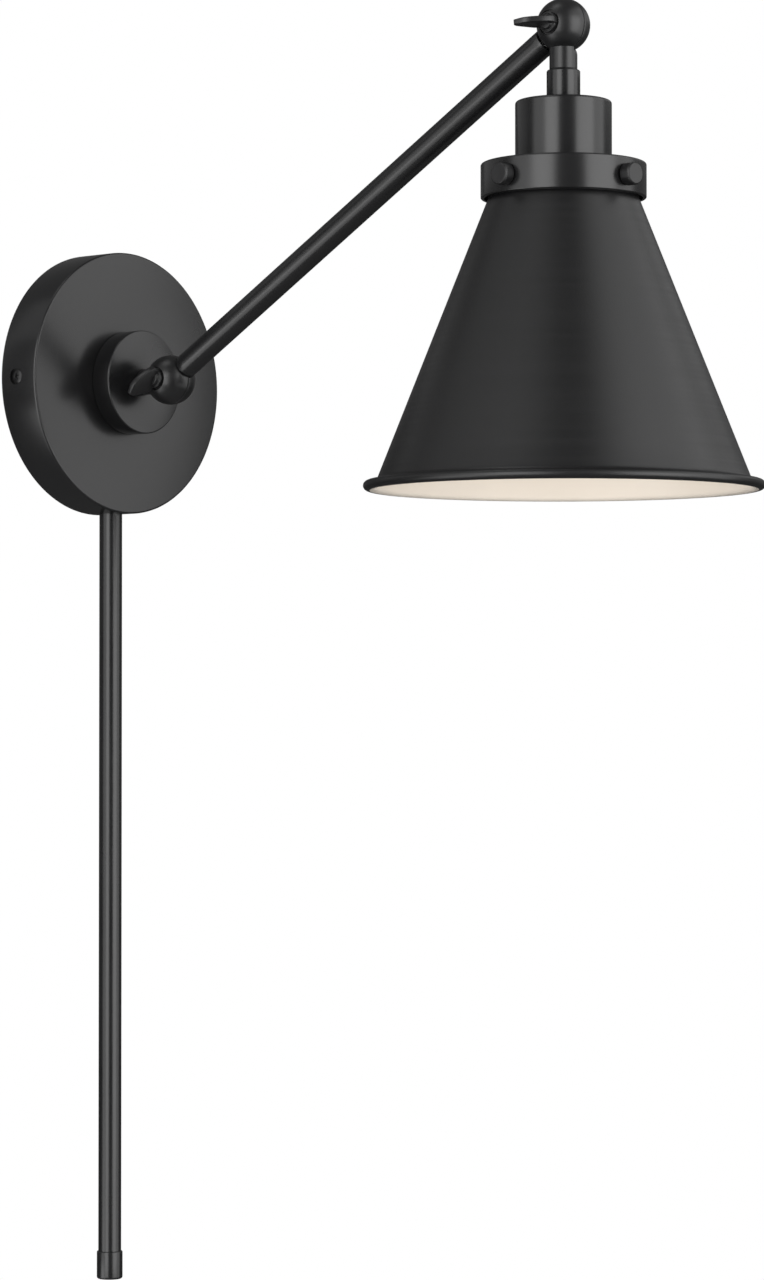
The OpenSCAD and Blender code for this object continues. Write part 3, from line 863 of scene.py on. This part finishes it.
class SCONCE_OT_socket_cup(bpy.types.Operator):
    """Turn the coupler and the socket cup below the head ball"""
    bl_idname = "sconce.socket_cup"
    bl_label = "Coupler and socket cup"

    def execute(self, context):
        sizes = context.scene.sconce_sizes
        bore = 4.95 * MM
        coupler = turned("coupler_piece", [
            (bore, COUPLER_BOTTOM), (COUPLER_R, COUPLER_BOTTOM),
            (COUPLER_R, COUPLER_TOP - 1.0 * MM), (COUPLER_R - 0.35 * MM, COUPLER_TOP - 0.5 * MM),
            (NECK_R + 0.05 * MM, COUPLER_TOP - 0.45 * MM), (NECK_R, COUPLER_TOP - 0.1 * MM),
            (NECK_R - 0.12 * MM, COUPLER_TOP),
            (bore, COUPLER_TOP),
        ], 96, closed=True)
        soften_edges(coupler, 0.1 * MM, segments=2, angle=25)
        smooth(coupler)
        settle(coupler, HEAD_BALL)
        place_piece(coupler, "head", ["coupler"], [satin_black()])
        wall = 1.2 * MM
        line = CUP_BOTTOM + 1.6 * MM
        edge = sizes.cup_edge
        outer = arc(CUP_R - edge, CUP_TOP - edge, edge, 90, 0, 8)
        cup = turned("socket_cup_piece", [
            (bore, CUP_TOP)] + outer + [
            (CUP_R, line + 0.18 * MM), (CUP_R - 0.2 * MM, line + 0.12 * MM),
            (CUP_R - 0.2 * MM, line - 0.12 * MM), (CUP_R, line - 0.18 * MM),
            (CUP_R, CUP_BOTTOM), (CUP_R - wall, CUP_BOTTOM), (CUP_R - wall, CUP_TOP - wall),
            (bore, CUP_TOP - wall),
        ], sizes.round_sides, closed=True)
        smooth(cup, 30)
        settle(cup, HEAD_BALL)
        place_piece(cup, "head", ["socket_cup"], [satin_black()])
        return {"FINISHED"}


class SCONCE_OT_collar(bpy.types.Operator):
    """Turn the shade collar"""
    bl_idname = "sconce.collar"
    bl_label = "Shade collar"

    def execute(self, context):
        sizes = context.scene.sconce_sizes
        edge = sizes.collar_edge
        low_edge = 0.6 * MM
        wall = 1.6 * MM
        bore = 17.3 * MM
        collar = turned("collar_piece", [
            (bore, COLLAR_TOP)] +
            arc(COLLAR_R - edge, COLLAR_TOP - edge, edge, 90, 0, 6) +
            arc(COLLAR_R - low_edge, COLLAR_BOTTOM + low_edge, low_edge, 0, -90, 5) + [
            (COLLAR_R - wall, COLLAR_BOTTOM), (COLLAR_R - wall, COLLAR_TOP - wall),
            (bore, COLLAR_TOP - wall),
        ], sizes.round_sides, closed=True)
        smooth(collar, 30)
        settle(collar, HEAD_BALL)
        place_piece(collar, "head", ["shade_collar"], [satin_black()])
        return {"FINISHED"}


class SCONCE_OT_thumb_screws(bpy.types.Operator):
    """Make one knurled thumb screw and copy it to the four sides of the collar"""
    bl_idname = "sconce.thumb_screws"
    bl_label = "Thumb screws"

    def execute(self, context):
        sizes = context.scene.sconce_sizes
        low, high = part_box("thumb_screw_1")
        height = (low.z + high.z) / 2
        head_r = (high.z - low.z) / 2
        head_h = 5.7 * MM
        shank_r = 1.5 * MM
        tip = -3.15 * MM
        rows = 12
        knurl_low, knurl_high = 0.55 * MM, head_h - 0.5 * MM
        grip = [
            (head_r - sizes.knurl_depth, knurl_low + (knurl_high - knurl_low) * i / rows)
            for i in range(rows + 1)
        ]
        outline = [(0, tip), (shank_r - 0.3 * MM, tip), (shank_r, tip + 0.3 * MM),
                   (shank_r, 0.2 * MM), (head_r - 0.75 * MM, 0.2 * MM)] + grip + [
            (head_r - 0.42 * MM, head_h - 0.24 * MM), (head_r - 0.72 * MM, head_h - 0.02 * MM),
            (head_r - 1.1 * MM, head_h), (head_r * 0.55, head_h - 0.05 * MM),
            (0, head_h - 0.06 * MM),
        ]
        sides = 72
        screw = turned("thumb_screw", outline, sides)
        edit(screw)
        bpy.ops.mesh.select_mode(type="VERT")
        mesh = bmesh.from_edit_mesh(screw.data)
        row_h = (knurl_high - knurl_low) / rows
        for vert in mesh.verts:
            row = (vert.co.z - knurl_low) / row_h
            on_grip = -0.01 < row < rows + 0.01 and vert.co.xy.length > head_r - 0.4 * MM
            side = round(atan2(vert.co.y, vert.co.x) / (2 * pi) * sides)
            vert.select_set(on_grip and (round(row) + side) % 2 == 0 and 0.5 < row < rows - 0.5)
        mesh.select_flush_mode()
        bmesh.update_edit_mesh(screw.data)
        share = head_r / (head_r - sizes.knurl_depth)
        bpy.ops.transform.resize(value=(share, share, 1), center_override=(0, 0, 0))
        bpy.ops.object.mode_set(mode="OBJECT")
        smooth(screw, 12)
        middle = Vector((HEAD_BALL.x, HEAD_BALL.y, height))
        for number in (1, 2, 3, 4):
            node = f"thumb_screw_{number}"
            out = joint_axis(node + "_out")
            turn = atan2(out.y, out.x)
            twin = copy_of(screw, node + "_piece", middle + out * COLLAR_R, (0, pi / 2, turn))
            place_piece(twin, node, [node], [cast_black()])
        bpy.data.objects.remove(screw)
        return {"FINISHED"}


class SCONCE_OT_lampholder(bpy.types.Operator):
    """Make the lampholder inside the shade with its threaded brass shell"""
    bl_idname = "sconce.lampholder"
    bl_label = "Lampholder"

    def execute(self, context):
        low, high = (below_head(v.z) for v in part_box("lampholder"))
        holder_r = 17 * MM
        room = SHELL_R + 0.1 * MM
        shell_seat = SHELL_TOP + 0.1 * MM
        flange_r = half_width("lampholder")
        flange = COLLAR_TOP
        holder = turned("lampholder_piece", [
            (5 * MM, high), (12 * MM, high), (12 * MM, high - 4 * MM), (holder_r, high - 4 * MM),
            (holder_r, flange + 4 * MM), (flange_r, flange + 4 * MM), (flange_r, flange),
            (holder_r, flange), (holder_r, low), (room, low), (room, shell_seat),
            (5 * MM, shell_seat),
        ], 96, closed=True)
        soften_edges(holder, 0.5 * MM, segments=3)
        smooth(holder)
        settle(holder, HEAD_BALL)
        place_piece(holder, "head", ["lampholder"], [phenolic()])
        self.shell()
        return {"FINISHED"}

    @staticmethod
    def shell():
        """The brass shell, its rolled thread raised by resizing the corners of each phase."""
        wall = 0.35 * MM
        pitch = 3.63 * MM
        depth = 0.45 * MM
        mid_r = SHELL_R - depth - 0.25 * MM
        sides, rows, phases = 96, 60, 12
        heights = [SHELL_BOTTOM + (SHELL_TOP - SHELL_BOTTOM) * i / rows for i in range(rows + 1)]
        end_hole_r = 6.5 * MM
        outline = [(mid_r, h) for h in heights] + [(end_hole_r, SHELL_TOP)]
        shell = turned("screw_shell_piece", outline, sides)
        edit(shell)
        bpy.ops.mesh.select_mode(type="VERT")
        for phase in range(phases):
            mesh = bmesh.from_edit_mesh(shell.data)
            for vert in mesh.verts:
                turn = atan2(vert.co.y, vert.co.x) / (2 * pi)
                place = ((vert.co.z - SHELL_BOTTOM) / pitch - turn) % 1
                ends = SHELL_BOTTOM + 1.2 * MM < vert.co.z < SHELL_TOP - 1.2 * MM
                vert.select_set(ends and round(place * phases) % phases == phase)
            mesh.select_flush_mode()
            bmesh.update_edit_mesh(shell.data)
            share = 1 + depth / mid_r * cos(2 * pi * phase / phases)
            bpy.ops.transform.resize(value=(share, share, 1), center_override=(0, 0, 0))
        bpy.ops.object.mode_set(mode="OBJECT")
        finish_modifier(shell, "SOLIDIFY", thickness=wall, offset=-1)
        smooth(shell, 60)
        settle(shell, HEAD_BALL)
        place_piece(shell, "head", ["screw_shell"], [stamped_brass()])


class SCONCE_OT_cord_cover(bpy.types.Operator):
    """Turn the cord cover tube, its end ferrule and the bush inside"""
    bl_idname = "sconce.cord_cover"
    bl_label = "Cord cover"

    def execute(self, context):
        low, high = (v.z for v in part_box("cover_tube"))
        inside = COVER_R - 0.6 * MM
        rows = 16
        outer = [(COVER_R, low + (high - low) * i / rows) for i in range(rows + 1)]
        outline = [(inside, low)] + outer + [(inside, high)]
        tube = turned("cord_cover_tube", outline, 96, closed=True)
        settle(tube, (0, COVER_MID, 0))
        deselect()
        bpy.ops.mesh.primitive_cylinder_add(
            vertices=160, radius=PLATE_R - 0.02 * MM, depth=2 * PLATE_H, rotation=OUT_OF_WALL)
        cut(tube, context.object)
        smooth(tube, 30)
        place_piece(tube, "wall_base", ["cover_tube"], [satin_black()])
        end, top = (v.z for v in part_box("ferrule"))
        bore = 4.6 * MM
        edge, top_edge = 1.1 * MM, 0.6 * MM
        ferrule = turned("ferrule_piece", [(bore, end)] +
            arc(FERRULE_R - edge, end + edge, edge, -90, 0, 6) +
            arc(FERRULE_R - top_edge, top - top_edge, top_edge, 0, 90, 5) + [
            (COVER_R, top), (COVER_R, end + 1 * MM), (bore, end + 1 * MM)], 96, closed=True)
        smooth(ferrule, 30)
        settle(ferrule, (0, COVER_MID, 0))
        place_piece(ferrule, "wall_base", ["ferrule"], [satin_black()])
        bush_r, hole = 4.55 * MM, 3.4 * MM
        body_r, back, step = bush_r + 0.35 * MM, end + 9 * MM, end + 1 * MM
        bush = turned("outlet_bush_piece", [
            (hole, back), (body_r, back), (body_r, step), (bush_r, step), (bush_r, end),
            (hole, end)], 64, closed=True)
        soften_edges(bush, 0.3 * MM, segments=3)
        smooth(bush)
        settle(bush, (0, COVER_MID, 0))
        place_piece(bush, "wall_base", ["outlet_bush"], [phenolic()])
        return {"FINISHED"}


class SCONCE_OT_stage(bpy.types.Operator):
    """Set the floor, the soft lights and the camera"""
    bl_idname = "sconce.stage"
    bl_label = "Stage"

    def execute(self, context):
        stage = context.scene.sconce_stage
        aim = Vector(stage.aim)
        self.floor(aim)
        self.world(context, stage.room)
        # name, turn from the view and height above level in degrees, width, height, radiance
        boxes = (
            ("left_key", -28, 4, 1.2, 2.4, stage.left_light),
            ("left_fill", -60, 4, 1.3, 2.4, stage.left_light * 0.38),
            ("left_upper", -62, 46, 3.2, 1.1, stage.left_light * 0.1),
            ("low_left", -68, -30, 1.3, 1.3, stage.left_light * 0.55),
            ("left_rear", -122, 20, 1.9, 0.7, stage.left_light * 0.06),
            ("right_key", 50, 4, 1.7, 2.4, stage.right_light),
            ("right_fill", 88, 4, 1.3, 2.4, stage.right_light * 0.46),
            ("right_upper", 74, 46, 2.8, 1.0, stage.right_light * 0.32),
            ("right_rear", 124, 26, 1.6, 0.6, stage.right_light * 0.17),
            ("top_box", -74, 73, 0.8, 0.8, stage.top_light),
        )
        for name, turn, rise, width, height, radiance in boxes:
            way = self.direction(stage.azimuth + radians(turn), radians(rise))
            self.softbox(name, aim, way, width, height, radiance)
        self.lamp_glow(stage.glow, stage.bounce)
        back = self.direction(stage.azimuth, stage.elevation)
        deselect()
        bpy.ops.object.camera_add(
            location=aim + back * stage.distance,
            rotation=back.to_track_quat("Z", "Y").to_euler())
        camera = context.object
        camera.data.lens = stage.lens
        camera.data.sensor_width = 36
        camera.data.clip_end = 50
        context.scene.camera = camera
        context.scene.view_settings.view_transform = "Standard"
        return {"FINISHED"}

    @staticmethod
    def direction(azimuth, elevation):
        """Unit vector from the lamp towards a place seen at these angles."""
        return Vector((
            sin(azimuth) * cos(elevation), -cos(azimuth) * cos(elevation), sin(elevation)))

    @staticmethod
    def softbox(name, aim, way, width, height, radiance):
        """A soft light facing the lamp; the radiance is what a mirror on the lamp would show."""
        deselect()
        bpy.ops.object.light_add(
            type="AREA", location=aim + way * LIGHT_DISTANCE,
            rotation=way.to_track_quat("Z", "Y").to_euler())
        light = bpy.context.object
        light.name = name
        light.data.shape = "RECTANGLE"
        light.data.size = width
        light.data.size_y = height
        light.data.energy = radiance * pi * width * height
        light.visible_camera = False

    @staticmethod
    def lamp_glow(power, bounce):
        """Light where the bulb sits and from the floor below, which show the shade's lining."""
        deselect()
        bpy.ops.object.light_add(
            type="POINT", location=HEAD_BALL + Vector((0, 0, SHADE_BOTTOM + 70 * MM)))
        light = bpy.context.object
        light.name = "lamp_glow"
        light.data.energy = power
        light.data.shadow_soft_size = 0.03
        light.visible_camera = False
        across = 2 * (half_width("shade") - 6 * MM)
        deselect()
        bpy.ops.object.light_add(
            type="AREA", location=HEAD_BALL + Vector((0, 0, SHADE_BOTTOM - MM)),
            rotation=(pi, 0, 0))
        light = bpy.context.object
        light.name = "floor_bounce"
        light.data.shape = "DISK"
        light.data.size = across
        light.data.energy = bounce * pi * pi * across ** 2 / 4
        light.visible_camera = False

    @staticmethod
    def seen_white(tree, dim, output):
        """White where the camera looks, a dim shader for all other rays."""
        mix = tree.nodes.new("ShaderNodeMixShader")
        path = tree.nodes.new("ShaderNodeLightPath")
        tree.links.new(path.outputs["Is Camera Ray"], mix.inputs["Fac"])
        tree.links.new(dim, mix.inputs[1])
        tree.links.new(mix.outputs["Shader"], output.inputs["Surface"])
        return mix.inputs[2]

    def floor(self, aim):
        deselect()
        bpy.ops.mesh.primitive_plane_add(
            size=40, location=(aim.x, aim.y, CAD_BOX[0][2] - FLOOR_DROP))
        floor = bpy.context.object
        floor.name = "floor"
        bpy.ops.object.transform_apply(location=True, rotation=True, scale=True)
        n = Nodes("pale_floor")
        n.shader.inputs["Base Color"].default_value = (0.25, 0.25, 0.25, 1)
        n.shader.inputs["Roughness"].default_value = 0.9
        glow = n.add("ShaderNodeEmission")
        glow.inputs["Color"].default_value = (1, 1, 1, 1)
        socket = self.seen_white(n.tree, n.shader.outputs["BSDF"], n.output)
        n.link(glow.outputs["Emission"], socket)
        floor.data.materials.append(n.material)

    def world(self, context, strength):
        world = bpy.data.worlds.new("pale_room")
        context.scene.world = world
        world.use_nodes = True
        tree = world.node_tree
        tree.nodes.clear()
        output = tree.nodes.new("ShaderNodeOutputWorld")
        room = tree.nodes.new("ShaderNodeBackground")
        room.inputs["Color"].default_value = (1, 1, 1, 1)
        room.inputs["Strength"].default_value = strength
        seen = tree.nodes.new("ShaderNodeBackground")
        seen.inputs["Color"].default_value = (1, 1, 1, 1)
        socket = self.seen_white(tree, room.outputs["Background"], output)
        tree.links.new(seen.outputs["Background"], socket)


class SCONCE_OT_fitted_finishes(bpy.types.Operator):
    """Give the frame's own small fittings their materials"""
    bl_idname = "sconce.fitted_finishes"
    bl_label = "Finishes of the fittings"

    def execute(self, context):
        by_slot = {
            "black": satin_black(),
            "shade_paint": matte_black(),
            "zinc": zinc_plate(),
            "ground_green": green_zinc(),
            "connector_orange": moulded("connector_orange", (0.80, 0.25, 0.04)),
            "lead_insulation": moulded("lead_insulation", (0.82, 0.82, 0.80), 0.35, 0.45),
            "phenolic": phenolic(),
            "nylon": moulded("nylon", (0.78, 0.77, 0.72), 0.4, 0.5),
            "brass": stamped_brass(),
        }
        slots = {s["node"]: s["material_slot"] for s in frame["record"]["subparts"]}
        for name, node in frame["nodes"].items():
            node.data.materials.clear()
            node.data.materials.append(by_slot[slots[name]])
        return {"FINISHED"}


class SCONCE_PT_panel(bpy.types.Panel):
    """Lists the steps that build the lamp"""
    bl_idname = "SCONCE_PT_panel"
    bl_label = "Wall sconce"
    bl_space_type = "VIEW_3D"
    bl_region_type = "UI"
    bl_category = "Sconce"

    def draw(self, context):
        for step in STEPS:
            self.layout.operator(step.bl_idname)


STEPS = (
    SCONCE_OT_fitted_finishes,
    SCONCE_OT_wall_plate,
    SCONCE_OT_side_screws,
    SCONCE_OT_boss,
    SCONCE_OT_swivels,
    SCONCE_OT_keys,
    SCONCE_OT_arm_tube,
    SCONCE_OT_socket_cup,
    SCONCE_OT_collar,
    SCONCE_OT_thumb_screws,
    SCONCE_OT_shade,
    SCONCE_OT_lampholder,
    SCONCE_OT_cord_cover,
    SCONCE_OT_stage,
)
CLASSES = (SconceSizes, SconceFinishes, SconceStage, *STEPS, SCONCE_PT_panel)


def register():
    for cls in CLASSES:
        bpy.utils.register_class(cls)
    bpy.types.Scene.sconce_sizes = PointerProperty(type=SconceSizes)
    bpy.types.Scene.sconce_finishes = PointerProperty(type=SconceFinishes)
    bpy.types.Scene.sconce_stage = PointerProperty(type=SconceStage)


def unregister():
    del bpy.types.Scene.sconce_stage
    del bpy.types.Scene.sconce_finishes
    del bpy.types.Scene.sconce_sizes
    for cls in reversed(CLASSES):
        bpy.utils.unregister_class(cls)


def main():
    register()
    for step in STEPS:
        group, name = step.bl_idname.split(".")
        getattr(getattr(bpy.ops, group), name)()


if __name__ == "__main__":
    main()
